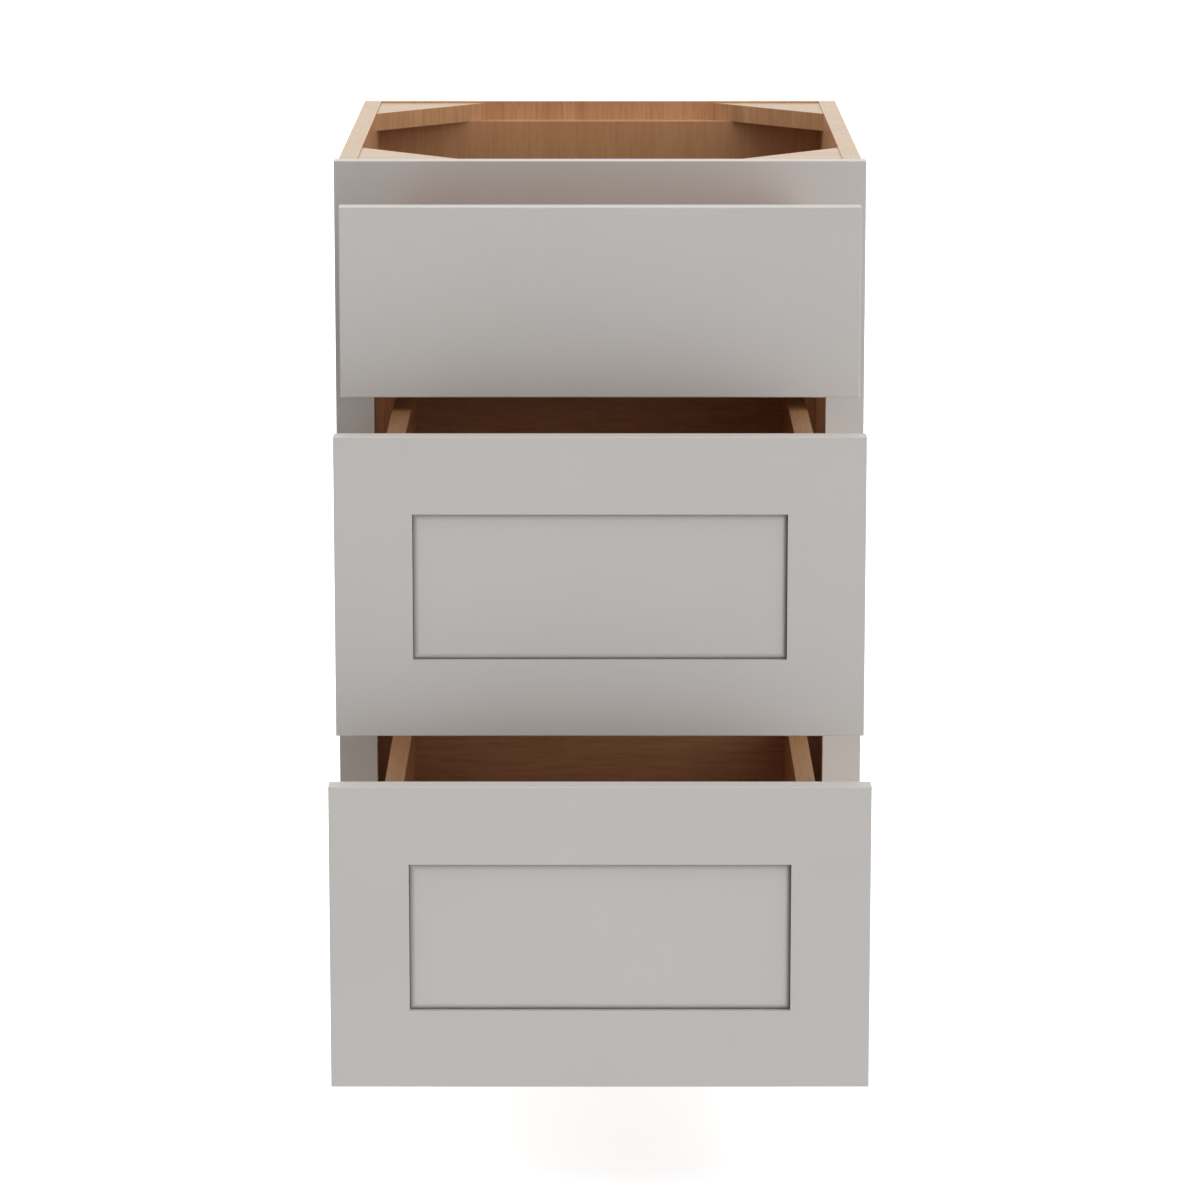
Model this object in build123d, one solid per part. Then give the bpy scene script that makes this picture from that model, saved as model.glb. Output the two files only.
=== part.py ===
from build123d import *
import math
import os

# Vanity drawer base: a face-frame carcase with three drawers, drawn as photographed, each
# drawer pulled out further than the one above it. Millimetres. +Z is up, +X is right seen
# from the front, and the front faces -Y. The origin is on the floor, on the wall plane,
# midway between the sides.

# Carcase, overall
WIDTH = 457.2
HEIGHT = 800.1
CASE_DEPTH = 514.35
TOE_HEIGHT = 88.9
TOE_DEPTH = 76.2

# Carcase boards
SIDE_T = 16.0
FLOOR_T = 12.7
FLOOR_DADO = 6.0
BACK_T = 6.35
HANG_RAIL_T = 16.0
HANG_RAIL_H = 76.2
TOE_BOARD_T = 12.7
GUSSET_LEG = 100.0
GUSSET_T = 16.0
GUSSET_DROP = 1.5

# Face frame
FRAME_T = 19.05
FRAME_OVERHANG = 3.175
STILE_W = 33.0
TOP_RAIL_W = 38.1
MID_RAIL_W = 33.0
BOTTOM_RAIL_W = 33.0
TENON_L = 12.0
TENON_T = 6.35
TENON_SHOULDER = 5.0

# Drawer fronts
FRONT_T = 19.05
FRONT_SIDE_REVEAL = 12.7
FRONT_TOP_REVEAL = 19.05
FRONT_BOTTOM_REVEAL = 12.7
FRONT_GAP = 12.7
TOP_FRONT_H = 158.75
FRONT_STILE_W = 63.5
FRONT_RAIL_W = 63.5
FRONT_ARRIS = 0.8
PANEL_RECESS = 3.5
PANEL_BEVEL_W = 5.3
PANEL_BEVEL_D = 4.6
PANEL_BEVEL_STEPS = 6
PANEL_TONGUE_T = 6.35
PANEL_TONGUE_L = 6.0
RAIL_TONGUE_SHOULDER = 12.0
BUMPER_T = 1.5
BUMPER_R = 5.0
BUMPER_INSET = 20.0

# Drawer boxes: the room is between each box and the frame rails over and under it
BOX_T = 16.0
BOX_REAR_ROOM = 34.8
BOX_FOOT_ROOM = 14.0
TOP_BOX_ROOM = 6.1
MIDDLE_BOX_ROOM = 16.3
BOTTOM_BOX_ROOM = 35.7
BOX_BOTTOM_T = 6.35
BOX_BOTTOM_UP = 12.7
BOX_GROOVE = 6.0
DOVETAIL_PITCH = 34.0
DOVETAIL_TIP_SHARE = 0.6
DOVETAIL_SLOPE = 0.125

# How far each drawer is pulled out
TOP_OPEN = 148.1
MIDDLE_OPEN = 271.2
BOTTOM_OPEN = 396.0

# Side-mounted telescopic slides: three nested channels each
SLIDE_INSET = 2.9
SLIDE_T = 12.7
SLIDE_H = 45.4
SLIDE_GAUGE = 1.2
SLIDE_SHORTER = 7.2
SLIDE_SETBACK = 3.0
SLIDE_UP = 45.0
SLIDE_BEND_R = 0.9
SLIDE_HOLE_INSET = 35.0
SLIDE_ACCESS_R = 5.5
CABINET_FLANGE = 9.3
RUNNING_GAP = 0.3
CLEAT_H = 60.0

# Flat-head screws
SCREW_HEAD_R = 4.0
SCREW_SHANK_R = 2.0
SCREW_ROOM = 0.1
SCREW_TIP_COVER = 3.2
SIDE_SCREW_BITE = 8.0
FRONT_SCREW_COVER = 8.0
FRONT_SCREW_LOW = 0.35
FRONT_SCREW_HIGH = 0.8
FRONT_SCREW_INSET = 4.5
CROSS_L = 4.4
CROSS_W = 0.9
CROSS_D = 1.0

# Edges are picked by place to within this distance
PICK = 0.01

# Planes and widths that follow from the sizes above
FACE = -CASE_DEPTH
FRAME_BACK = FACE + FRAME_T
CASE_HALF = WIDTH / 2 - FRAME_OVERHANG
INSIDE_HALF = CASE_HALF - SIDE_T
OPEN_HALF = WIDTH / 2 - STILE_W
FRONT_HALF = WIDTH / 2 - FRONT_SIDE_REVEAL
SLIDE_HALF = OPEN_HALF - SLIDE_INSET
BOX_HALF = SLIDE_HALF - SLIDE_T
BOX_INNER_HALF = BOX_HALF - BOX_T
BOX_L = CASE_DEPTH - BACK_T - HANG_RAIL_T - BOX_REAR_ROOM
SLIDE_L = BOX_L - SLIDE_SHORTER
BETWEEN_SIDES = (-INSIDE_HALF, INSIDE_HALF)
GUSSET_Z = (HEIGHT - GUSSET_DROP - GUSSET_T, HEIGHT - GUSSET_DROP)

# Fronts, from the floor up: the two framed ones share what the slab and the gaps leave
FRONTS_FOOT = TOE_HEIGHT + FRONT_BOTTOM_REVEAL
TOP_FRONT_Z = (HEIGHT - FRONT_TOP_REVEAL - TOP_FRONT_H, HEIGHT - FRONT_TOP_REVEAL)
FRAMED_FRONT_H = (TOP_FRONT_Z[0] - FRONTS_FOOT - 2 * FRONT_GAP) / 2
BOTTOM_FRONT_Z = (FRONTS_FOOT, FRONTS_FOOT + FRAMED_FRONT_H)
MIDDLE_FRONT_Z = (TOP_FRONT_Z[0] - FRONT_GAP - FRAMED_FRONT_H, TOP_FRONT_Z[0] - FRONT_GAP)

# Frame rails: the middle ones are centred behind the gaps between the fronts
UPPER_GAP_Z = TOP_FRONT_Z[0] - FRONT_GAP / 2
LOWER_GAP_Z = MIDDLE_FRONT_Z[0] - FRONT_GAP / 2
TOP_RAIL_Z = (HEIGHT - TOP_RAIL_W, HEIGHT)
UPPER_MID_RAIL_Z = (UPPER_GAP_Z - MID_RAIL_W / 2, UPPER_GAP_Z + MID_RAIL_W / 2)
LOWER_MID_RAIL_Z = (LOWER_GAP_Z - MID_RAIL_W / 2, LOWER_GAP_Z + MID_RAIL_W / 2)
BOTTOM_RAIL_Z = (TOE_HEIGHT, TOE_HEIGHT + BOTTOM_RAIL_W)
FLOOR_Z = (BOTTOM_RAIL_Z[1] - FLOOR_T, BOTTOM_RAIL_Z[1])

# Each drawer: how far it is out, the foot and top of its front, and those of its box
DRAWERS = {
    "top": (TOP_OPEN, TOP_FRONT_Z, (UPPER_MID_RAIL_Z[1] + BOX_FOOT_ROOM, TOP_RAIL_Z[0] - TOP_BOX_ROOM)),
    "middle": (
        MIDDLE_OPEN,
        MIDDLE_FRONT_Z,
        (LOWER_MID_RAIL_Z[1] + BOX_FOOT_ROOM, UPPER_MID_RAIL_Z[0] - MIDDLE_BOX_ROOM),
    ),
    "bottom": (
        BOTTOM_OPEN,
        BOTTOM_FRONT_Z,
        (BOTTOM_RAIL_Z[1] + BOX_FOOT_ROOM, LOWER_MID_RAIL_Z[0] - BOTTOM_BOX_ROOM),
    ),
}

# Slide channels: the outer face of the web and the flange's tip, in from the slide's outer
# face, and half the height. Each channel runs inside the one before it.
NEST = SLIDE_GAUGE + RUNNING_GAP
CABINET_CHANNEL = (0, CABINET_FLANGE, SLIDE_H / 2)
MIDDLE_CHANNEL = (NEST, SLIDE_T - NEST, SLIDE_H / 2 - NEST)
DRAWER_CHANNEL = (SLIDE_T, 2 * NEST, SLIDE_H / 2 - 2 * NEST)
SLIDE_HOLES = (SLIDE_HOLE_INSET, SLIDE_L / 2, SLIDE_L - SLIDE_HOLE_INSET)

# Screw lengths under the head, from what each one goes through
CLEAT_SCREW_L = SLIDE_GAUGE + INSIDE_HALF - SLIDE_HALF + SIDE_SCREW_BITE
BOX_SCREW_L = SLIDE_GAUGE + BOX_T - SCREW_TIP_COVER
FRONT_SCREW_L = BOX_T + FRONT_T - FRONT_SCREW_COVER

LEFT = -1
RIGHT = 1
parts = {}


def block(x, y, z):
    """A board between a low and a high value on each axis."""
    spans = [sorted(span) for span in (x, y, z)]
    size = [high - low for low, high in spans]
    middle = [(low + high) / 2 for low, high in spans]
    return Pos(*middle) * Box(*size)


def mirrored(piece):
    """The right-hand twin of a left-hand piece."""
    return mirror(piece, about=Plane.YZ)


def pair(name, left_piece):
    """A left-hand piece and its twin, as two nodes."""
    parts["left_" + name] = left_piece
    parts["right_" + name] = mirrored(left_piece)


def near(value):
    """A narrow range about a value, for picking edges by place."""
    return (value - PICK, value + PICK)


def screw_form(length, room):
    """A screw's outside, head up at the origin, grown by some room all round."""
    head_depth = SCREW_HEAD_R - SCREW_SHANK_R
    cone = Cone(SCREW_SHANK_R + room, SCREW_HEAD_R + room, head_depth)
    shank = Cylinder(SCREW_SHANK_R + room, length + room)
    return Pos(0, 0, -head_depth / 2) * cone + Pos(0, 0, -(length + room) / 2) * shank


def screws(places):
    """Flat-head screws with a cross recess, at (length, head point, way the head faces)."""
    solids = []
    for length, head, away in places:
        solid = screw_form(length, 0)
        for bar in ((CROSS_L, CROSS_W), (CROSS_W, CROSS_L)):
            solid -= Pos(0, 0, -CROSS_D / 2) * Box(*bar, CROSS_D)
        solids.append(Plane(origin=head, z_dir=away) * solid)
    return Compound(solids)


def drilled(piece, places):
    """A piece with a hole for each screw that passes through it."""
    for length, head, away in places:
        piece -= Plane(origin=head, z_dir=away) * screw_form(length, SCREW_ROOM)
    return piece


def on_side(places, side):
    """The screws of one side of the cabinet."""
    return [place for place in places if place[1][0] * side > 0]


def rail_with_tenons(half, tenon_l, shoulder, y, z, tenon_y):
    """A rail between two stiles, with a shouldered tenon at each end."""
    tenon_half = half + tenon_l
    tenon_z = (z[0] + shoulder, z[1] - shoulder)
    return block((-half, half), y, z) + block((-tenon_half, tenon_half), tenon_y, tenon_z)


def carcase_boards(side_screws):
    """Sides, floor, back, hang rail, toe board and the corner gussets."""
    floor_half = INSIDE_HALF + FLOOR_DADO
    floor = block((-floor_half, floor_half), (FRAME_BACK, -BACK_T), FLOOR_Z)
    parts["bottom_panel"] = floor

    side_x = (-CASE_HALF, -INSIDE_HALF)
    side = block(side_x, (FRAME_BACK, 0), (0, HEIGHT))
    side -= block(side_x, (FRAME_BACK, FACE + TOE_DEPTH), (0, TOE_HEIGHT))
    pair("side_panel", drilled(side - floor, on_side(side_screws, LEFT)))

    parts["back_panel"] = block(BETWEEN_SIDES, (-BACK_T, 0), (0, HEIGHT))
    hang_rail_y = (-BACK_T - HANG_RAIL_T, -BACK_T)
    parts["hang_rail"] = block(BETWEEN_SIDES, hang_rail_y, (GUSSET_Z[0] - HANG_RAIL_H, GUSSET_Z[0]))
    toe_board_y = (FACE + TOE_DEPTH, FACE + TOE_DEPTH + TOE_BOARD_T)
    parts["toe_kick_board"] = block(BETWEEN_SIDES, toe_board_y, (0, FLOOR_Z[0]))

    for end, y, leg in (("front", FRAME_BACK, GUSSET_LEG), ("rear", -BACK_T, -GUSSET_LEG)):
        corner = (-INSIDE_HALF, y)
        outline = [corner, (-INSIDE_HALF + GUSSET_LEG, y), (-INSIDE_HALF, y + leg)]
        triangle = Pos(0, 0, GUSSET_Z[0]) * make_face(Polyline(*outline, close=True))
        pair(end + "_gusset", extrude(triangle, GUSSET_T, dir=(0, 0, 1)))


def face_frame():
    """Two stiles with four rails tenoned between them."""
    frame_y = (FACE, FRAME_BACK)
    frame_middle = (FACE + FRAME_BACK) / 2
    tenon_y = (frame_middle - TENON_T / 2, frame_middle + TENON_T / 2)
    rails = {
        "top_rail": TOP_RAIL_Z,
        "upper_mid_rail": UPPER_MID_RAIL_Z,
        "lower_mid_rail": LOWER_MID_RAIL_Z,
        "bottom_rail": BOTTOM_RAIL_Z,
    }
    stile = block((-WIDTH / 2, -OPEN_HALF), frame_y, (TOE_HEIGHT, HEIGHT))
    for name, rail_z in rails.items():
        parts[name] = rail_with_tenons(OPEN_HALF, TENON_L, TENON_SHOULDER, frame_y, rail_z, tenon_y)
        stile -= parts[name]
    pair("stile", stile)


def slide_x(side, depth):
    """X at a depth in from the slide's outer face, on one side."""
    return side * (SLIDE_HALF - depth)


def channel(side, form, start, z):
    """One slide member: a web with a flange along its top and foot, bent at the web's edges."""
    web, tip, half = form
    inward = 1 if tip > web else -1
    y = (start, start + SLIDE_L)
    outer = block((slide_x(side, web), slide_x(side, tip)), y, (z - half, z + half))
    bends = outer.edges().filter_by(Axis.Y).filter_by_position(Axis.X, *near(slide_x(side, web)))
    hollow_x = (slide_x(side, web + inward * SLIDE_GAUGE), slide_x(side, tip))
    hollow_half = half - SLIDE_GAUGE
    return fillet(bends, SLIDE_BEND_R) - block(hollow_x, y, (z - hollow_half, z + hollow_half))


def slide_screws(length, depth, facing, start, z):
    """The screws through one kind of slide member, on both sides."""
    places = []
    for side in (LEFT, RIGHT):
        for hole in SLIDE_HOLES:
            places.append((length, (slide_x(side, depth), start + hole, z), (side * facing, 0, 0)))
    return places


def slides(drawer):
    """One drawer's pair of slides; returns the cabinet-side and the drawer-side screws."""
    out, front_z, box_z = DRAWERS[drawer]
    z = box_z[0] + SLIDE_UP
    shut = FACE + SLIDE_SETBACK
    halfway = shut - out / 2
    pulled = shut - out
    cabinet_screws = slide_screws(CLEAT_SCREW_L, SLIDE_GAUGE, -1, shut, z)
    box_screws = slide_screws(BOX_SCREW_L, SLIDE_T - SLIDE_GAUGE, 1, pulled, z)
    cabinet, middle, inner = [], [], []
    for side in (LEFT, RIGHT):
        cabinet.append(drilled(channel(side, CABINET_CHANNEL, shut, z), on_side(cabinet_screws, side)))
        inner.append(drilled(channel(side, DRAWER_CHANNEL, pulled, z), on_side(box_screws, side)))
        runner = channel(side, MIDDLE_CHANNEL, halfway, z)
        for hole in SLIDE_HOLES:
            centre = (slide_x(side, NEST + SLIDE_GAUGE / 2), halfway + hole, z)
            runner -= Plane(origin=centre, z_dir=(1, 0, 0)) * Cylinder(SLIDE_ACCESS_R, 2 * SLIDE_GAUGE)
        middle.append(runner)
    parts[drawer + "_slide_cabinet_members"] = Compound(cabinet)
    parts[drawer + "_slide_middle_members"] = Compound(middle)
    parts[drawer + "_slide_drawer_members"] = Compound(inner)
    return cabinet_screws, box_screws


def slide_cleats(screw_places):
    """Strips that bring the slides in from the side panels, clear of the frame opening."""
    cleats = []
    for out, front_z, box_z in DRAWERS.values():
        z = box_z[0] + SLIDE_UP
        y = (FRAME_BACK, FACE + SLIDE_SETBACK + SLIDE_L)
        cleat = block((-INSIDE_HALF, -SLIDE_HALF), y, (z - CLEAT_H / 2, z + CLEAT_H / 2))
        cleats.append(drilled(cleat, on_side(screw_places, LEFT)))
    parts["slide_cleats"] = Compound(cleats + [mirrored(cleat) for cleat in cleats])


def dovetails(tip_y, root_y, z):
    """The tails on one end of the left box side, wider at the tip than at the root."""
    height = z[1] - z[0]
    count = max(1, round(height / DOVETAIL_PITCH))
    pitch = height / count
    tip_half = DOVETAIL_TIP_SHARE * pitch / 2
    root_half = tip_half - abs(root_y - tip_y) * DOVETAIL_SLOPE
    tails = []
    for index in range(count):
        middle = z[0] + pitch * (index + 0.5)
        corners = [
            (-BOX_HALF, tip_y, middle - tip_half),
            (-BOX_HALF, tip_y, middle + tip_half),
            (-BOX_HALF, root_y, middle + root_half),
            (-BOX_HALF, root_y, middle - root_half),
        ]
        outline = make_face(Polyline(*corners, close=True))
        tails.append(extrude(outline, BOX_T, dir=(1, 0, 0)))
    return tails


def drawer_box(drawer, y, box_screws, front_screws):
    """Four dovetailed boards and a bottom held in their grooves."""
    z = DRAWERS[drawer][2]
    inner_y = (y[0] + BOX_T, y[1] - BOX_T)

    bottom_half = BOX_INNER_HALF + BOX_GROOVE
    bottom_y = (inner_y[0] - BOX_GROOVE, inner_y[1] + BOX_GROOVE)
    bottom_z = (z[0] + BOX_BOTTOM_UP, z[0] + BOX_BOTTOM_UP + BOX_BOTTOM_T)
    bottom = block((-bottom_half, bottom_half), bottom_y, bottom_z)

    left = block((-BOX_HALF, -BOX_INNER_HALF), inner_y, z)
    for tail in dovetails(y[0], inner_y[0], z) + dovetails(y[1], inner_y[1], z):
        left += tail
    right = mirrored(left)
    front = block((-BOX_HALF, BOX_HALF), (y[0], inner_y[0]), z) - left - right - bottom
    back = block((-BOX_HALF, BOX_HALF), (inner_y[1], y[1]), z) - left - right - bottom

    parts[drawer + "_box_bottom"] = bottom
    parts[drawer + "_box_front"] = drilled(front, front_screws)
    parts[drawer + "_box_back"] = back
    parts[drawer + "_box_left_side"] = drilled(left - bottom, on_side(box_screws, LEFT))
    parts[drawer + "_box_right_side"] = drilled(right - bottom, on_side(box_screws, RIGHT))


def eased(piece, face_y, edges_x, edges_z):
    """A front's piece with its outer edges eased at the face, picked by their X or Z."""
    at_face = piece.edges().filter_by_position(Axis.Y, *near(face_y))
    picked = ShapeList()
    for x in edges_x:
        picked += at_face.filter_by(Axis.Z).filter_by_position(Axis.X, *near(x))
    for z in edges_z:
        picked += at_face.filter_by(Axis.X).filter_by_position(Axis.Z, *near(z))
    return fillet(picked, FRONT_ARRIS)


def slab_front(drawer, y, z, front_screws):
    """A plain front from one board."""
    slab = eased(block((-FRONT_HALF, FRONT_HALF), y, z), y[0], (-FRONT_HALF, FRONT_HALF), z)
    parts[drawer + "_front_slab"] = drilled(slab, front_screws)


def front_panel(sight_half, sight_z, tongue_y):
    """A panel with a tongue all round and a narrow bevel, rounded over into its recessed field."""
    tongue_half = sight_half + PANEL_TONGUE_L
    tongue_z = (sight_z[0] - PANEL_TONGUE_L, sight_z[1] + PANEL_TONGUE_L)
    panel = block((-tongue_half, tongue_half), tongue_y, tongue_z)
    sections = []
    for step in range(PANEL_BEVEL_STEPS + 1):
        turn = math.pi / 2 * step / PANEL_BEVEL_STEPS
        depth = tongue_y[0] - PANEL_BEVEL_D * math.sin(turn)
        shrink = PANEL_BEVEL_W * (1 - math.cos(turn))
        centre = (0, depth, (sight_z[0] + sight_z[1]) / 2)
        plane = Plane(origin=centre, x_dir=(1, 0, 0), z_dir=(0, -1, 0))
        height = sight_z[1] - sight_z[0] - 2 * shrink
        sections.append(plane * Rectangle(2 * (sight_half - shrink), height))
    return panel + loft(sections, ruled=True)


def framed_front(drawer, y, z, front_screws):
    """A front of two stiles, two rails and a bevelled panel held in their grooves."""
    sight_half = FRONT_HALF - FRONT_STILE_W
    sight_z = (z[0] + FRONT_RAIL_W, z[1] - FRONT_RAIL_W)
    tongue_front = y[0] + PANEL_RECESS + PANEL_BEVEL_D
    tongue_y = (tongue_front, tongue_front + PANEL_TONGUE_T)
    panel = front_panel(sight_half, sight_z, tongue_y)
    pieces = {"panel": panel}

    stile = eased(block((-FRONT_HALF, -sight_half), y, z), y[0], (-FRONT_HALF,), z) - panel
    rails = {"bottom_rail": ((z[0], sight_z[0]), z[0]), "top_rail": ((sight_z[1], z[1]), z[1])}
    for name, (rail_z, outer_edge) in rails.items():
        rail = rail_with_tenons(sight_half, PANEL_TONGUE_L, RAIL_TONGUE_SHOULDER, y, rail_z, tongue_y)
        stile -= rail
        pieces[name] = eased(rail, y[0], (), (outer_edge,)) - panel
    pieces["left_stile"] = stile
    pieces["right_stile"] = mirrored(stile)
    for name, piece in pieces.items():
        parts[drawer + "_front_" + name] = drilled(piece, front_screws)


def bumpers(front_back, z):
    """Four soft pads on a front's back that meet the face frame when the drawer is shut."""
    pads = []
    for side in (LEFT, RIGHT):
        for pad_z in (z[0] + BUMPER_INSET, z[1] - BUMPER_INSET):
            centre = (side * (OPEN_HALF + FRONT_HALF) / 2, front_back + BUMPER_T / 2, pad_z)
            pads.append(Plane(origin=centre, z_dir=(0, 1, 0)) * Cylinder(BUMPER_R, BUMPER_T))
    return Compound(pads)


def front_screw_places(head_y, box_z):
    """Screws from inside a box, through its front board into the drawer front."""
    places = []
    for side in (LEFT, RIGHT):
        for share in (FRONT_SCREW_LOW, FRONT_SCREW_HIGH):
            height = box_z[0] + share * (box_z[1] - box_z[0])
            head = (side * (BOX_INNER_HALF - FRONT_SCREW_INSET), head_y, height)
            places.append((FRONT_SCREW_L, head, (0, 1, 0)))
    return places


cabinet_screws = []
for drawer, (out, front_z, box_z) in DRAWERS.items():
    front_back = FACE - BUMPER_T - out
    front_y = (front_back - FRONT_T, front_back)
    fixed_screws, box_screws = slides(drawer)
    cabinet_screws += fixed_screws
    front_screws = front_screw_places(front_back + BOX_T, box_z)
    drawer_box(drawer, (front_back, front_back + BOX_L), box_screws, front_screws)
    make_front = slab_front if drawer == "top" else framed_front
    make_front(drawer, front_y, front_z, front_screws)
    parts[drawer + "_drawer_screws"] = screws(front_screws + box_screws)
    parts[drawer + "_front_bumpers"] = bumpers(front_back, front_z)

carcase_boards(cabinet_screws)
face_frame()
slide_cleats(cabinet_screws)
parts["cabinet_screws"] = screws(cabinet_screws)

os.makedirs("parts", exist_ok=True)
for name, part in parts.items():
    export_step(part, "parts/" + name + ".step")
print(len(parts), "nodes")
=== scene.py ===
import math

import bmesh
import bpy
from bpy.props import FloatProperty, FloatVectorProperty, PointerProperty
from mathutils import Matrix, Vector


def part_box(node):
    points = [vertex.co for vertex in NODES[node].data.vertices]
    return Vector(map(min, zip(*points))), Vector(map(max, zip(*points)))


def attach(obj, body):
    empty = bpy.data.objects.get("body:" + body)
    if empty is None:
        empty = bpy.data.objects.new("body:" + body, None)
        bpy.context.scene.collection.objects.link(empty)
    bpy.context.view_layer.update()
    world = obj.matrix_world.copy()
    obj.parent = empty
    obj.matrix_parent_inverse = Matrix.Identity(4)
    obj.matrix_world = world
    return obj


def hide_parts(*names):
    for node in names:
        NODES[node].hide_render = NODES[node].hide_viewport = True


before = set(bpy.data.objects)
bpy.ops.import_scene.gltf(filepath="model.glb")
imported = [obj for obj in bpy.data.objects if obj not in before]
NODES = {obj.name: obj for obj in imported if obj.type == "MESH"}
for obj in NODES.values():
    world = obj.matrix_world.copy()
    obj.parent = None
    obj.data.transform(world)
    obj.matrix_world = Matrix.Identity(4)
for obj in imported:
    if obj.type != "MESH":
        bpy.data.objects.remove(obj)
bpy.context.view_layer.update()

bl_info = {
    "name": "Vanity drawer base",
    "version": (1, 0, 0),
    "blender": (4, 5, 0),
    "location": "View3D > Sidebar > Drawer base",
    "description": "Finishes, small fittings and studio for a painted three-drawer vanity base",
    "category": "Object",
}

DRAWERS = ("top", "middle", "bottom")
FRONT_BOARDS = ("slab", "left_stile", "right_stile", "top_rail", "bottom_rail", "panel")
FRAME_BOARDS = ("left_stile", "right_stile", "top_rail", "upper_mid_rail", "lower_mid_rail", "bottom_rail")
MM = 0.001

# How near to a face a point counts as on it, in a material's mask and when picking in edit mode
SKIN = 0.2 * MM
NEAR = 0.1 * MM

# The colour sockets of a Mix node, which go by number because other sockets have the same names
MIX_FROM = 6
MIX_TO = 7
MIX_RESULT = 2

# Patterns and sheens that the finishes share
NOISE_DETAIL = 3
NOISE_ROUGHNESS = 0.55
COAT_ROUGHNESS = 0.2

# The sprayed coat's ripple, and how much darker every second ply is
RIPPLE_STRENGTH = 0.15
RIPPLE_HEIGHT = 0.05 * MM
PLY_SHADE = 0.5

# The soft pads: sides of the disc, steps of its rounded rim, and how clear they are
PAD_SIDES = 40
PAD_RIM_STEPS = 6
PAD_CLEARNESS = 0.5

# The release levers: how far a lever lies off the drawer side, and its rounded edges
LEVER_SEAT = 1.25 * MM
LEVER_ROUND = 0.7 * MM
LEVER_ROUND_STEPS = 2

# A lever's arm in steps to the front: reach and rise in millimetres, and height against the step before
LEVER_ARM = ((7, 2, 0.5), (12, 4, 0.9), (5, 1, 1.5), (11, 0, 1.1))

# The thumb paddle at the arm's end: length, how far it stands out, and its narrowing in depth and height
PADDLE_LENGTH = 10 * MM
PADDLE_RISE = 2.5 * MM
PADDLE_TAPER = (1, 0.7, 0.8)

# Faces that meet at less than this look smooth
SMOOTH_ANGLE = math.radians(35)

# The studio: the floor's size in metres and its drop below the feet, and the camera's sensor and far limit
FLOOR_SIZE = 40
FLOOR_DROP = 0.5 * MM
SENSOR_WIDTH = 36
CLIP_END = 100

# Soft patches of light in the surroundings: name, degrees to the right of the front, degrees above level
LIGHTS = (
    ("front", 0, 0),
    ("right", 45, 0),
    ("low_left", -45, -38),
    ("low_right", 45, -38),
    ("high_left", -90, 38),
    ("high_right", 45, 38),
    ("above_right", 60, 65),
    ("overhead", 0, 90),
    ("behind", 180, 25),
)

# How tightly a patch of light is drawn together
PATCH_POWER = 8


def linear(code):
    """A hex sRGB colour as linear red, green and blue."""
    channels = [int(code[i : i + 2], 16) / 255 for i in (1, 3, 5)]
    return tuple(c / 12.92 if c <= 0.04045 else ((c + 0.055) / 1.055) ** 2.4 for c in channels)


# Settings a user would change


def colour(name, description, code):
    """A colour setting, written as its sRGB hex code."""
    return FloatVectorProperty(
        name=name, description=description, subtype="COLOR", size=3, min=0, max=1, default=linear(code)
    )


def length(name, description, millimetres):
    """A length setting, written in millimetres."""
    return FloatProperty(
        name=name, description=description, unit="LENGTH", subtype="DISTANCE", default=millimetres * MM
    )


def share(name, description, value):
    """A setting between nought and one."""
    return FloatProperty(name=name, description=description, subtype="FACTOR", min=0, max=1, default=value)


def level(name, description, value):
    """A brightness, from nought up."""
    return FloatProperty(name=name, description=description, min=0, default=value)


class LacquerSettings(bpy.types.PropertyGroup):
    """The grey lacquer on the fronts, the frame and the outer sides."""

    grey: colour("Grey", "Colour of the lacquer", "#BFBBB8")
    cloud_grey: colour("Cloud grey", "Colour where the coat lies a little thinner", "#BCB8B4")
    cloud: length("Cloud size", "Width of the faint clouds left by the spray passes", 180)
    peel: length("Peel size", "Width of the ripples of a sprayed coat, drawn coarse enough to show", 4)
    roughness: share("Roughness", "Satin sheen of the colour coat", 0.4)
    coat: share("Coat", "Strength of the clear coat's reflection", 0.1)


class MapleSettings(bpy.types.PropertyGroup):
    """The clear-coated maple of the carcase and the drawer boxes. Its less amber top tones are a painted
    sheen on the tops, and its darker tones for the drawer ends and bottoms and for the cleats are painted
    shade.
    """

    pale: colour("Pale wood", "Colour of the pale early wood", "#D9AA7C")
    tan: colour("Tan wood", "Colour of the broad darker figure", "#C18E63")
    line: colour("Grain line", "Colour of the fine dark flecks", "#9E6E4B")
    # Painted sheen: the tops of the carcase boards take these less amber tones instead of the tones above
    top_sheen_pale: colour("Pale top wood", "Colour of the pale wood on the tops, less amber than below", "#CCAC7F")
    top_sheen_tan: colour("Tan top wood", "Colour of the broad darker figure on the tops", "#B59066")
    top_sheen_line: colour("Top grain line", "Colour of the fine dark flecks on the tops", "#94704E")
    # Painted shade: the cleat tone darkens the slide cleats, where shade falls beside the drawer boxes
    cleat_shade: colour("Cleat figure", "Colour of the figure on the slide cleats, darkened as painted shade", "#8A5C3E")
    # Painted shade: a darker, redder copy of the maple for the drawer ends and bottoms, where shade falls
    # inside the drawers
    drawer_shade_pale: colour("Pale drawer wood", "Colour of the pale wood of drawer ends and bottoms, darkened as painted shade", "#CA9D78")
    drawer_shade_tan: colour("Tan drawer wood", "Colour of the darker figure of the same boards", "#BA8A67")
    drawer_shade_line: colour("Drawer grain line", "Colour of the fine flecks of the same boards", "#9A6B4C")
    figure: length("Figure width", "Width of the broad figure across the grain", 26)
    streak: length("Streak distance", "Distance between the darker streaks", 11)
    grain: length("Fleck width", "Width of the fine flecks across the grain", 1.8)
    ply: length("Ply thickness", "Thickness of one ply in a board's edge", 2.286)
    roughness: share("Roughness", "Sheen of the wood", 0.35)
    coat: share("Coat", "Strength of the clear coat's reflection", 0.2)


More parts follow.
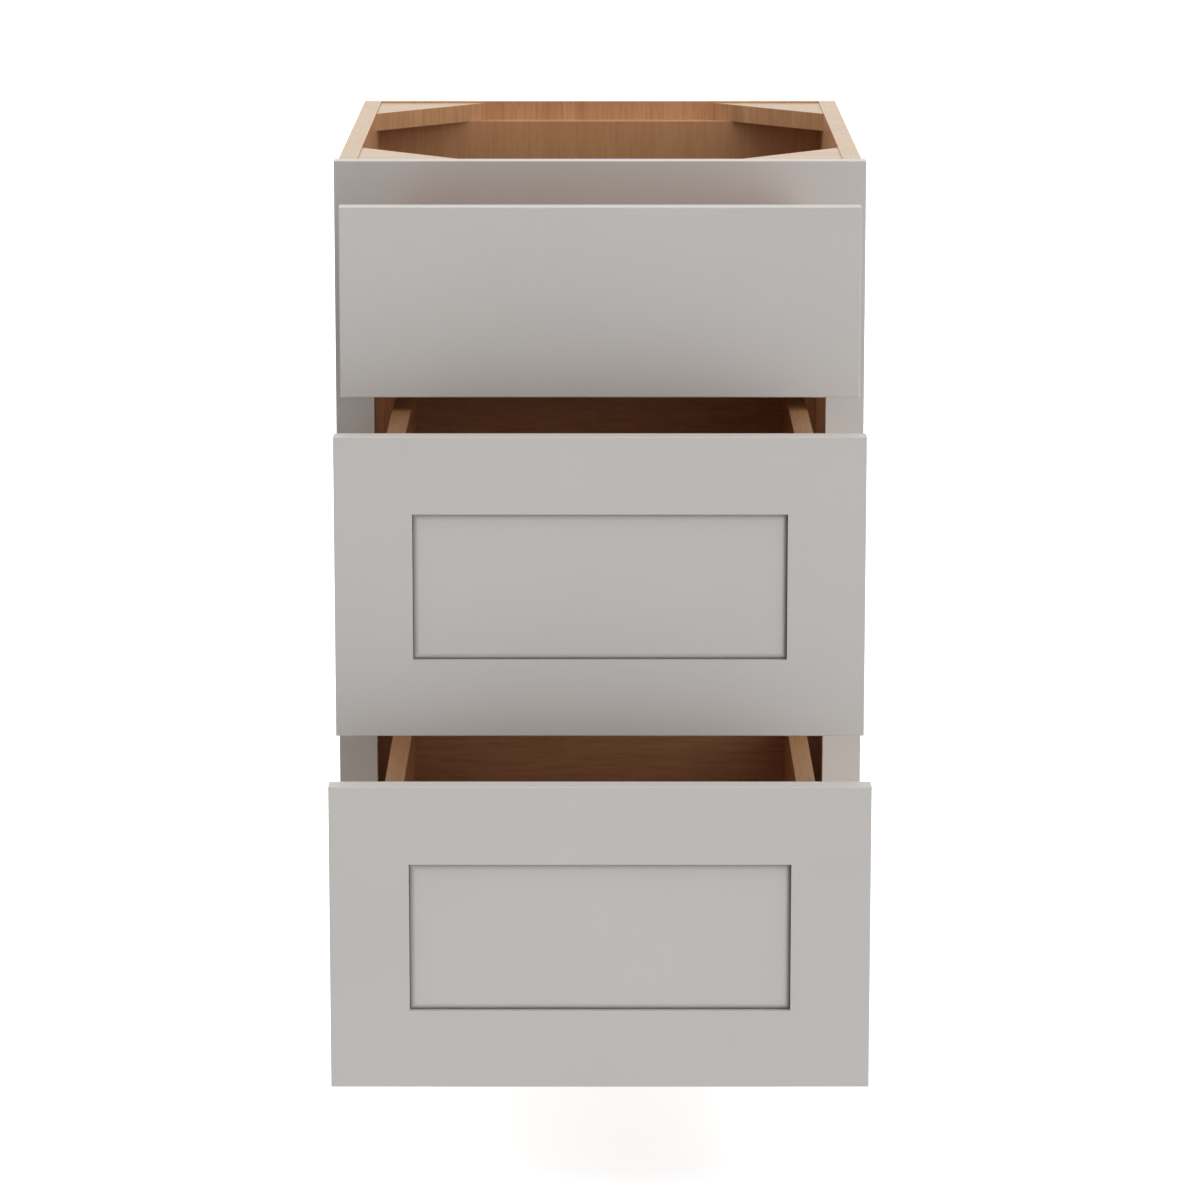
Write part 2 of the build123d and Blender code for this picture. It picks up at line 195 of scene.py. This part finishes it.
class FittingSettings(bpy.types.PropertyGroup):
    """The slides, screws, pads and levers."""

    zinc: colour("Zinc", "Colour of the zinc-plated slides", "#C6C8CC")
    dull_zinc: colour("Dull zinc", "Colour of the duller streaks in the zinc", "#A9ACB1")
    screw: colour("Screw", "Colour of the yellow-passivated screws", "#C9B98E")
    dull_screw: colour("Dull screw", "Colour of the thinner yellow on the screws", "#B3A88A")
    pad: colour("Pad", "Colour of the clear soft pads", "#E8E8E4")
    pad_shade: colour("Pad shade", "Colour of the cloudier parts of the pads", "#D6D6D0")
    pad_width: length("Pad width", "Diameter of a soft pad", 10)
    pad_round: share("Pad rounding", "How much of a pad's thickness its rounded rim takes", 0.85)
    nylon: colour("Nylon", "Colour of the release levers", "#26272A")
    nylon_shade: colour("Nylon shade", "Colour of the paler flow marks in the nylon", "#34353A")
    lever_length: length("Lever length", "Length of a release lever's flat body", 34)
    lever_height: length("Lever height", "Height of a release lever's flat body", 13)
    lever_thickness: length("Lever thickness", "Thickness of a release lever", 3)
    lever_place: length("Lever place", "From the slide's front end to the middle of the lever's body", 150)


class StudioSettings(bpy.types.PropertyGroup):
    """The camera, the light and the floor."""

    lens: FloatProperty(name="Lens", description="Focal length in millimetres", unit="CAMERA", default=148.9)
    pitch: FloatProperty(
        name="Pitch",
        description="How far the camera looks down",
        subtype="ANGLE",
        default=math.radians(11.513),
    )
    eye: FloatVectorProperty(
        name="Eye",
        description="Where the camera stands",
        subtype="TRANSLATION",
        default=(0.0, -4.76125, 1.2811),
    )
    front: level("Front", "Light from straight in front", 0.29)
    right: level("Right", "Light from the right, level with the floor", 2.56)
    low_left: level("Low left", "Light off the pale ground on the left", 0.9)
    low_right: level("Low right", "Light off the pale ground on the right", 1.18)
    high_left: level("High left", "Light from the upper left", 1.96)
    high_right: level("High right", "Light from the upper right, in front", 0.38)
    above_right: level("Above right", "Light from above, on the right", 1.44)
    overhead: level("Overhead", "Light from straight above", 1.88)
    behind: level("Behind", "Light from behind, for the back", 2.0)
    floor_white: colour("Floor", "Colour of the floor, a little cool", "#E7F1F9")
    floor_lift: level("Floor lift", "White added to the floor as the camera sees it", 0.72)


class DrawerBaseSettings(bpy.types.PropertyGroup):
    """All settings of the drawer base."""

    lacquer: PointerProperty(type=LacquerSettings)
    maple: PointerProperty(type=MapleSettings)
    fittings: PointerProperty(type=FittingSettings)
    studio: PointerProperty(type=StudioSettings)


# Materials


def add_node(tree, kind, settings=None, inputs=None):
    """Add a shader node, set it up, and set or link its inputs by name or number."""
    node = tree.nodes.new("ShaderNode" + kind)
    for name, value in (settings or {}).items():
        setattr(node, name, value)
    for name, value in (inputs or {}).items():
        if isinstance(value, bpy.types.NodeSocket):
            tree.links.new(value, node.inputs[name])
        elif node.inputs[name].type == "RGBA":
            node.inputs[name].default_value = (*value[:3], 1)
        else:
            node.inputs[name].default_value = value
    return node


def new_material(name):
    """A node material with a principled shader, and the place in the object for its patterns."""
    material = bpy.data.materials.new(name)
    material.use_nodes = True
    tree = material.node_tree
    tree.nodes.clear()
    shader = add_node(tree, "BsdfPrincipled")
    add_node(tree, "OutputMaterial", None, {"Surface": shader.outputs["BSDF"]})
    place = add_node(tree, "TexCoord").outputs["Object"]
    return material, tree, shader, place


def give(material, names):
    """Put a material on CAD nodes."""
    for name in names:
        slots = NODES[name].material_slots
        if not slots:
            raise RuntimeError("no material slot on " + name)
        for material_slot in slots:
            material_slot.material = material


def drawn_noise(tree, place, width, low, high, along=None, ratio=1, most=1):
    """Noise of one width, drawn out along an axis, as a mask that rises to most between two noise values."""
    stretch = [1, 1, 1]
    if along:
        stretch["XYZ".index(along)] = 1 / ratio
    drawn = add_node(tree, "Mapping", None, {"Vector": place, "Scale": stretch}).outputs["Vector"]
    inputs = {"Vector": drawn, "Scale": 1 / width, "Detail": NOISE_DETAIL, "Roughness": NOISE_ROUGHNESS}
    noise = add_node(tree, "TexNoise", None, inputs).outputs["Fac"]
    inputs = {"Value": noise, "From Min": low, "From Max": high, "To Max": most}
    return add_node(tree, "MapRange", None, inputs).outputs["Result"]


def set_sheen(shader, settings):
    """A clear coat over the colour, the same all over."""
    shader.inputs["Roughness"].default_value = settings.roughness
    shader.inputs["Coat Weight"].default_value = settings.coat
    shader.inputs["Coat Roughness"].default_value = COAT_ROUGHNESS


def lacquer_colour(tree, place, settings):
    """Sprayed grey lacquer: one even grey with very faint wide clouds."""
    clouds = drawn_noise(tree, place, settings.cloud, low=0.3, high=0.7)
    inputs = {"Factor": clouds, MIX_FROM: settings.grey, MIX_TO: settings.cloud_grey}
    return add_node(tree, "Mix", {"data_type": "RGBA"}, inputs).outputs[MIX_RESULT]


def lacquer_ripple(tree, place, settings):
    """The slight ripple of a sprayed coat, which only breaks up the sheen."""
    height = drawn_noise(tree, place, settings.peel, low=0, high=1)
    inputs = {"Height": height, "Strength": RIPPLE_STRENGTH, "Distance": RIPPLE_HEIGHT}
    return add_node(tree, "Bump", None, inputs).outputs["Normal"]


def lacquer_material(settings):
    """Catalysed lacquer sprayed over maple: a smooth satin grey, almost white where seen at a low angle."""
    material, tree, shader, place = new_material("Sprayed grey lacquer")
    tree.links.new(lacquer_colour(tree, place, settings), shader.inputs["Base Color"])
    tree.links.new(lacquer_ripple(tree, place, settings), shader.inputs["Normal"])
    set_sheen(shader, settings)
    return material


def wood_colour(tree, place, settings, along, tones, plies=None):
    """Wood: faint broad figure, darker streaks and short flecks along an axis, darker plies in an edge."""
    pale, tan, line = tones
    figure = drawn_noise(tree, place, settings.figure, low=0.2, high=0.8, along=along, ratio=14)
    streaks = drawn_noise(tree, place, settings.streak, low=0.5, high=0.8, along=along, ratio=30, most=0.35)
    flecks = drawn_noise(tree, place, settings.grain, low=0.45, high=0.85, along=along, ratio=18, most=0.7)
    layers = [(figure, tan), (streaks, line), (flecks, line)]
    if plies:
        layers.append((plies, tan))
    wood = pale
    for mask, tone in layers:
        inputs = {"Factor": mask, MIX_FROM: wood, MIX_TO: tone}
        wood = add_node(tree, "Mix", {"data_type": "RGBA"}, inputs).outputs[MIX_RESULT]
    return wood


def ply_layers(tree, place, axis, start, thickness):
    """Every second ply of a board, counted from its face at start along an axis, the same left and right."""
    value = add_node(tree, "SeparateXYZ", None, {"Vector": place}).outputs[axis]
    for operation, number in (
        ("ABSOLUTE", 0),
        ("SUBTRACT", start - NEAR),
        ("DIVIDE", 2 * thickness),
        ("FRACT", 0),
        ("GREATER_THAN", 0.5),
        ("MULTIPLY", PLY_SHADE),
    ):
        value = add_node(tree, "Math", {"operation": operation}, {0: value, 1: number}).outputs["Value"]
    return value


def maple_material(name, settings, along, tones, plies=None):
    """Clear-coated wood: honey tan with soft streaks, and a satin coat that pales it at a low angle."""
    material, tree, shader, place = new_material(name)
    layers = ply_layers(tree, place, *plies) if plies else None
    tree.links.new(wood_colour(tree, place, settings, along, tones, layers), shader.inputs["Base Color"])
    set_sheen(shader, settings)
    return material


def plate_material(settings, tones, tops):
    """Maple ply plates: pale faces with the grain across the cabinet, drawn in the less amber top tones as a
    painted sheen, and upright streaks in the edges.
    """
    material, tree, shader, place = new_material("Maple ply plates")
    low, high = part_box("left_front_gusset")
    # Painted sheen: the plate faces, top and bottom, take the less amber top tones
    faces = wood_colour(tree, place, settings, "X", tops)
    edges = wood_colour(tree, place, settings, "Z", tones)
    height = add_node(tree, "SeparateXYZ", None, {"Vector": place}).outputs["Z"]
    inputs = {0: height, 1: (low.z + high.z) / 2, 2: (high.z - low.z) / 2 - SKIN}
    between = add_node(tree, "Math", {"operation": "COMPARE"}, inputs).outputs["Value"]
    inputs = {"Factor": between, MIX_FROM: faces, MIX_TO: edges}
    wood = add_node(tree, "Mix", {"data_type": "RGBA"}, inputs).outputs[MIX_RESULT]
    tree.links.new(wood, shader.inputs["Base Color"])
    set_sheen(shader, settings)
    return material


def side_material(maple, lacquer, tones, tops):
    """Maple ply lacquered on its outer face and in the toe notch. Its pale top edge shows the plies, in the
    less amber top tones of a painted sheen.
    """
    material, tree, shader, place = new_material("Maple ply lacquered outside")
    low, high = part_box("right_side_panel")
    notch_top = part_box("bottom_rail")[0].z
    notch_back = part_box("toe_kick_board")[0].y
    layers = ply_layers(tree, place, "X", low.x, maple.ply)
    faces = wood_colour(tree, place, maple, "Z", tones, layers)
    # Painted sheen: the top edge takes the less amber top tones
    edge = wood_colour(tree, place, maple, "Z", tops, layers)
    paint = lacquer_colour(tree, place, lacquer)
    parts = add_node(tree, "SeparateXYZ", None, {"Vector": place}).outputs
    away = add_node(tree, "Math", {"operation": "ABSOLUTE"}, {0: parts["X"]}).outputs["Value"]
    mask = {}
    for where, operation, value, limit in (
        ("top", "GREATER_THAN", parts["Z"], high.z - SKIN),
        ("outside", "GREATER_THAN", away, high.x - SKIN),
        ("below", "LESS_THAN", parts["Z"], notch_top + SKIN),
        ("before", "LESS_THAN", parts["Y"], notch_back + SKIN),
    ):
        mask[where] = add_node(tree, "Math", {"operation": operation}, {0: value, 1: limit}).outputs["Value"]
    both = {0: mask["below"], 1: mask["before"]}
    notch = add_node(tree, "Math", {"operation": "MULTIPLY"}, both).outputs["Value"]
    either = {0: mask["outside"], 1: notch}
    painted = add_node(tree, "Math", {"operation": "MAXIMUM"}, either).outputs["Value"]
    finish = faces
    for factor, cover in ((mask["top"], edge), (painted, paint)):
        inputs = {"Factor": factor, MIX_FROM: finish, MIX_TO: cover}
        finish = add_node(tree, "Mix", {"data_type": "RGBA"}, inputs).outputs[MIX_RESULT]
    tree.links.new(finish, shader.inputs["Base Color"])
    tree.links.new(lacquer_ripple(tree, place, lacquer), shader.inputs["Normal"])
    set_sheen(shader, maple)
    return material


def streaked_material(name, tones, width, smooth, rough, along=None, fixed=None):
    """A fitting's surface: two near tones in streaks, duller in the second, and values that stay the same."""
    material, tree, shader, place = new_material(name)
    mask = drawn_noise(tree, place, width, low=0.3, high=0.7, along=along, ratio=30)
    inputs = {"Factor": mask, MIX_FROM: tones[0], MIX_TO: tones[1]}
    streaks = add_node(tree, "Mix", {"data_type": "RGBA"}, inputs).outputs[MIX_RESULT]
    tree.links.new(streaks, shader.inputs["Base Color"])
    inputs = {"Value": mask, "To Min": smooth, "To Max": rough}
    dulled = add_node(tree, "MapRange", None, inputs).outputs["Result"]
    tree.links.new(dulled, shader.inputs["Roughness"])
    for socket, value in (fixed or {}).items():
        shader.inputs[socket].default_value = value
    return material


def zinc_material(settings):
    """Zinc-plated rolled steel: bluish grey with dull streaks along the rolling direction."""
    tones = (settings.zinc, settings.dull_zinc)
    metal = {"Metallic": 1}
    return streaked_material(
        "Zinc-plated steel", tones, 3 * MM, smooth=0.25, rough=0.42, along="Y", fixed=metal
    )


def screw_material(settings):
    """Yellow-passivated steel: pale gold with thinner, greyer patches."""
    tones = (settings.screw, settings.dull_screw)
    metal = {"Metallic": 1}
    return streaked_material("Yellow-passivated steel", tones, 2 * MM, smooth=0.25, rough=0.4, fixed=metal)


def pad_material(settings):
    """Soft clear polyurethane: cloudy white, with light passing through."""
    tones = (settings.pad, settings.pad_shade)
    clear = {"Transmission Weight": PAD_CLEARNESS}
    return streaked_material("Clear soft polyurethane", tones, 3 * MM, smooth=0.2, rough=0.35, fixed=clear)


def nylon_material(settings):
    """Black moulded nylon: a soft sheen with faint paler flow marks."""
    tones = (settings.nylon, settings.nylon_shade)
    return streaked_material("Black moulded nylon", tones, 2 * MM, smooth=0.38, rough=0.55, along="Y")


# Modelling helpers


def pick(kind, test):
    """In edit mode, select the faces or edges whose middle passes a test, and nothing else."""
    bpy.ops.mesh.select_mode(type=kind)
    bpy.ops.mesh.select_all(action="DESELECT")
    mesh = bmesh.from_edit_mesh(bpy.context.object.data)
    for item in mesh.faces if kind == "FACE" else mesh.edges:
        middle = sum((v.co for v in item.verts), item.verts[0].co * 0) / len(item.verts)
        item.select_set(test(middle))
    mesh.select_flush_mode()
    bmesh.update_edit_mesh(bpy.context.object.data)


def copy_to(piece, steps):
    """Copies of a piece with meshes of their own, moved by each step, joined to the first as one object."""
    copies = [piece]
    for step in steps:
        bpy.ops.object.select_all(action="DESELECT")
        piece.select_set(True)
        bpy.context.view_layer.objects.active = piece
        bpy.ops.object.duplicate()
        bpy.ops.transform.translate(value=step)
        copies.append(bpy.context.object)
    bpy.ops.object.select_all(action="DESELECT")
    for copy in copies:
        copy.select_set(True)
    bpy.context.view_layer.objects.active = piece
    bpy.ops.object.join()
    bpy.ops.object.transform_apply(location=True, rotation=True, scale=True)


def finish_piece(piece, name, material, body):
    """Name a new piece, give it its material, smooth it and let it ride on its body."""
    piece.name = name
    piece.data.name = name
    piece.data.materials.clear()
    piece.data.materials.append(material)
    bpy.ops.object.shade_smooth_by_angle(angle=SMOOTH_ANGLE)
    bpy.ops.object.select_all(action="DESELECT")
    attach(piece, body)


# Operators


class CABINET_OT_lacquer(bpy.types.Operator):
    """Lacquer the drawer fronts, the face frame and the toe board"""

    bl_idname = "cabinet.lacquer"
    bl_label = "Lacquer fronts and frame"

    def execute(self, context):
        settings = context.scene.drawer_base.lacquer
        boards = [drawer + "_front_" + board for drawer in DRAWERS for board in FRONT_BOARDS]
        fronts = [name for name in boards if name in NODES]
        give(lacquer_material(settings), [*fronts, *FRAME_BOARDS, "toe_kick_board"])
        return {"FINISHED"}


class CABINET_OT_carcase(bpy.types.Operator):
    """Finish the carcase boards in maple, the sides lacquered outside"""

    bl_idname = "cabinet.carcase"
    bl_label = "Finish carcase boards"

    def execute(self, context):
        settings = context.scene.drawer_base
        maple = settings.maple
        tones = (maple.pale, maple.tan, maple.line)
        # Painted sheen: less amber tones for the up-facing tops of the sides and plates
        tops = (maple.top_sheen_pale, maple.top_sheen_tan, maple.top_sheen_line)
        # Painted shade: dark tones for the cleats, where shade falls beside the drawer boxes
        dark = (maple.line, maple.cleat_shade, maple.cleat_shade)
        for node in ("back_panel", "hang_rail"):
            face = -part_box(node)[1].y
            name = "Upright maple ply of " + node.replace("_", " ")
            give(maple_material(name, maple, "Z", tones, ("Y", face, maple.ply)), [node])
        give(plate_material(maple, tones, tops), [n for n in NODES if n.endswith("gusset")])
        give(maple_material("Long maple ply", maple, "Y", tones), ["bottom_panel"])
        # Painted shade: the cleats are darkened for the shade beside the drawer boxes
        give(maple_material("Cleats darkened as painted shade", maple, "Y", dark), ["slide_cleats"])
        give(side_material(maple, settings.lacquer, tones, tops), ["left_side_panel", "right_side_panel"])
        return {"FINISHED"}


class CABINET_OT_drawer_boxes(bpy.types.Operator):
    """Finish the drawer boxes in solid maple, grain along each board"""

    bl_idname = "cabinet.drawer_boxes"
    bl_label = "Finish drawer boxes"

    def execute(self, context):
        settings = context.scene.drawer_base.maple
        pale_tones = (settings.pale, settings.tan, settings.line)
        # Painted shade: the ends and bottoms take a darker, redder copy of the maple for the shade inside the
        # drawers; the sides keep the carcase maple
        tones = (settings.drawer_shade_pale, settings.drawer_shade_tan, settings.drawer_shade_line)
        sides = maple_material("Maple drawer sides", settings, "Y", pale_tones)
        ends = maple_material("Maple drawer ends darkened as painted shade", settings, "X", tones)
        bottoms = maple_material("Maple drawer bottoms darkened as painted shade", settings, "Y", tones)
        for drawer in DRAWERS:
            box = drawer + "_box_"
            give(sides, [box + "left_side", box + "right_side"])
            give(ends, [box + "front", box + "back"])
            give(bottoms, [box + "bottom"])
        return {"FINISHED"}


class CABINET_OT_fittings(bpy.types.Operator):
    """Finish the slides and the screws"""

    bl_idname = "cabinet.fittings"
    bl_label = "Finish slides and screws"

    def execute(self, context):
        settings = context.scene.drawer_base.fittings
        give(zinc_material(settings), [n for n in NODES if "_slide_" in n])
        give(screw_material(settings), [n for n in NODES if n.endswith("_screws")])
        return {"FINISHED"}


class CABINET_OT_pads(bpy.types.Operator):
    """Model the domed soft pads on the backs of the drawer fronts"""

    bl_idname = "cabinet.pads"
    bl_label = "Add soft pads"

    def execute(self, context):
        settings = context.scene.drawer_base.fittings
        material = pad_material(settings)
        for drawer in DRAWERS:
            node = drawer + "_front_bumpers"
            low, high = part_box(node)
            pad = self.model(settings, low, high)
            across = high.x - low.x - settings.pad_width
            up = high.z - low.z - settings.pad_width
            copy_to(pad, [(across, 0, 0), (0, 0, up), (across, 0, up)])
            finish_piece(pad, drawer + "_soft_pads", material, drawer + "_drawer")
            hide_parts(node)
        return {"FINISHED"}

    def model(self, settings, low, high):
        """One pad: a low disc whose rim is rounded over into a dome."""
        radius = settings.pad_width / 2
        thick = high.y - low.y
        middle = (low.x + radius, low.y + thick / 2, low.z + radius)
        bpy.ops.mesh.primitive_cylinder_add(
            vertices=PAD_SIDES, radius=radius, depth=thick, location=middle, rotation=(math.pi / 2, 0, 0)
        )
        bpy.ops.object.transform_apply(location=True, rotation=True, scale=True)
        bpy.ops.object.mode_set(mode="EDIT")
        pick("EDGE", lambda m: m.y > high.y - NEAR)
        bpy.ops.mesh.bevel(offset=settings.pad_round * thick, segments=PAD_RIM_STEPS, affect="EDGES")
        bpy.ops.object.mode_set(mode="OBJECT")
        return bpy.context.object


class CABINET_OT_levers(bpy.types.Operator):
    """Model the nylon release levers inside the drawer members of the slides"""

    bl_idname = "cabinet.levers"
    bl_label = "Add release levers"

    def execute(self, context):
        settings = context.scene.drawer_base.fittings
        material = nylon_material(settings)
        for drawer in DRAWERS:
            low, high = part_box(drawer + "_slide_drawer_members")
            lever = self.model(settings, low, high)
            self.mirror_across(lever)
            finish_piece(lever, drawer + "_release_levers", material, drawer + "_drawer")
        return {"FINISHED"}

    def model(self, settings, low, high):
        """The right lever: a flat body on the web, a slim bent arm and a thumb paddle that stands out."""
        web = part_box("top_box_right_side")[1].x + LEVER_SEAT
        thick = settings.lever_thickness
        body = (thick, settings.lever_length, settings.lever_height)
        middle = (web + thick / 2, low.y + settings.lever_place, (low.z + high.z) / 2)
        bpy.ops.mesh.primitive_cube_add(size=1, location=middle, scale=body)
        bpy.ops.object.transform_apply(location=True, rotation=True, scale=True)
        bpy.ops.object.mode_set(mode="EDIT")
        front = middle[1] - settings.lever_length / 2
        for reach, rise, slim in LEVER_ARM:
            pick("FACE", lambda m: m.y < front + NEAR)
            bpy.ops.mesh.extrude_region_move(TRANSFORM_OT_translate={"value": (0, -reach * MM, rise * MM)})
            bpy.ops.transform.resize(value=(1, 1, slim))
            front -= reach * MM
        pick("FACE", lambda m: m.y < front + PADDLE_LENGTH and m.x > web + thick - NEAR)
        bpy.ops.mesh.extrude_region_move(TRANSFORM_OT_translate={"value": (PADDLE_RISE, 0, 0)})
        bpy.ops.transform.resize(value=PADDLE_TAPER)
        pick("EDGE", lambda m: m.x > web + NEAR)
        bpy.ops.mesh.bevel(offset=LEVER_ROUND, segments=LEVER_ROUND_STEPS, affect="EDGES")
        bpy.ops.object.mode_set(mode="OBJECT")
        return bpy.context.object

    def mirror_across(self, lever):
        """The left lever, the right one's mirror image."""
        modifier = lever.modifiers.new("Left lever", "MIRROR")
        modifier.use_axis = (True, False, False)
        bpy.ops.object.modifier_apply(modifier=modifier.name)
        bpy.ops.object.mode_set(mode="EDIT")
        bpy.ops.mesh.select_all(action="SELECT")
        bpy.ops.mesh.normals_make_consistent(inside=False)
        bpy.ops.object.mode_set(mode="OBJECT")


class CABINET_OT_studio(bpy.types.Operator):
    """Set up the floor, the white surroundings and the camera"""

    bl_idname = "cabinet.studio"
    bl_label = "Set up studio"

    def execute(self, context):
        settings = context.scene.drawer_base.studio
        scene = context.scene
        scene.view_settings.view_transform = "Standard"
        self.add_floor(settings)
        self.light_world(scene, settings)
        self.add_camera(scene, settings)
        return {"FINISHED"}

    def seen_directly(self, tree):
        """One for rays from the camera, in a reflection or through a clear piece."""
        rays = add_node(tree, "LightPath").outputs
        seen = rays["Is Camera Ray"]
        for other in ("Is Glossy Ray", "Is Transmission Ray"):
            inputs = {0: seen, 1: rays[other]}
            seen = add_node(tree, "Math", {"operation": "MAXIMUM"}, inputs).outputs["Value"]
        return seen

    def add_floor(self, settings):
        """A plain pale floor, white to the camera where no shadow falls."""
        bpy.ops.mesh.primitive_plane_add(size=FLOOR_SIZE, location=(0, 0, -FLOOR_DROP))
        floor = bpy.context.object
        floor.name = "studio_floor"
        material = bpy.data.materials.new("Pale floor")
        material.use_nodes = True
        tree = material.node_tree
        tree.nodes.clear()
        seen = self.seen_directly(tree)
        lift = add_node(tree, "Math", {"operation": "MULTIPLY"}, {0: seen, 1: settings.floor_lift})
        glow = add_node(tree, "Emission", None, {"Strength": lift.outputs["Value"]}).outputs["Emission"]
        matt = add_node(tree, "BsdfDiffuse", None, {"Color": settings.floor_white}).outputs["BSDF"]
        both = add_node(tree, "AddShader", None, {0: matt, 1: glow}).outputs["Shader"]
        add_node(tree, "OutputMaterial", None, {"Surface": both})
        floor.data.materials.append(material)
        floor.visible_diffuse = False
        floor.visible_shadow = False

    def light_world(self, scene, settings):
        """White to the camera and in reflections, and soft patches of light in all other ways."""
        world = bpy.data.worlds.new("White studio")
        world.use_nodes = True
        tree = world.node_tree
        tree.nodes.clear()
        way = add_node(tree, "TexCoord").outputs["Generated"]
        light = 0.0
        for name, turn, height in LIGHTS:
            around = math.radians(turn)
            up = math.radians(height)
            towards = (math.sin(around) * math.cos(up), -math.cos(around) * math.cos(up), math.sin(up))
            near = add_node(tree, "VectorMath", {"operation": "DOT_PRODUCT"}, {0: way, 1: towards})
            facing = add_node(tree, "Math", {"operation": "MAXIMUM"}, {0: near.outputs["Value"], 1: 0})
            inputs = {0: facing.outputs["Value"], 1: PATCH_POWER}
            patch = add_node(tree, "Math", {"operation": "POWER"}, inputs).outputs["Value"]
            inputs = {0: patch, 1: getattr(settings, name), 2: light}
            light = add_node(tree, "Math", {"operation": "MULTIPLY_ADD"}, inputs).outputs["Value"]
        inputs = {"Factor": self.seen_directly(tree), "A": light, "B": 1}
        strength = add_node(tree, "Mix", {"data_type": "FLOAT"}, inputs).outputs["Result"]
        sky = add_node(tree, "Background", None, {"Strength": strength, "Color": (1, 1, 1)})
        add_node(tree, "OutputWorld", None, {"Surface": sky.outputs["Background"]})
        scene.world = world

    def add_camera(self, scene, settings):
        """The camera, straight in front and looking down a little."""
        tilt = (math.pi / 2 - settings.pitch, 0, 0)
        bpy.ops.object.camera_add(location=settings.eye, rotation=tilt)
        camera = bpy.context.object
        camera.data.lens = settings.lens
        camera.data.sensor_width = SENSOR_WIDTH
        camera.data.clip_end = CLIP_END
        scene.camera = camera


class CABINET_PT_panel(bpy.types.Panel):
    """The drawer base's steps, in order"""

    bl_idname = "CABINET_PT_panel"
    bl_label = "Drawer base"
    bl_space_type = "VIEW_3D"
    bl_region_type = "UI"
    bl_category = "Drawer base"

    def draw(self, context):
        for step in STEPS:
            self.layout.operator(step.bl_idname)


STEPS = (
    CABINET_OT_lacquer,
    CABINET_OT_carcase,
    CABINET_OT_drawer_boxes,
    CABINET_OT_fittings,
    CABINET_OT_pads,
    CABINET_OT_levers,
    CABINET_OT_studio,
)
CLASSES = (
    LacquerSettings,
    MapleSettings,
    FittingSettings,
    StudioSettings,
    DrawerBaseSettings,
    *STEPS,
    CABINET_PT_panel,
)


def register():
    for cls in CLASSES:
        bpy.utils.register_class(cls)
    bpy.types.Scene.drawer_base = PointerProperty(type=DrawerBaseSettings)


def unregister():
    del bpy.types.Scene.drawer_base
    for cls in reversed(CLASSES):
        bpy.utils.unregister_class(cls)


def main():
    register()
    bpy.ops.object.select_all(action="DESELECT")
    bpy.ops.cabinet.lacquer()
    bpy.ops.cabinet.carcase()
    bpy.ops.cabinet.drawer_boxes()
    bpy.ops.cabinet.fittings()
    bpy.ops.cabinet.pads()
    bpy.ops.cabinet.levers()
    bpy.ops.cabinet.studio()


if __name__ == "__main__":
    main()
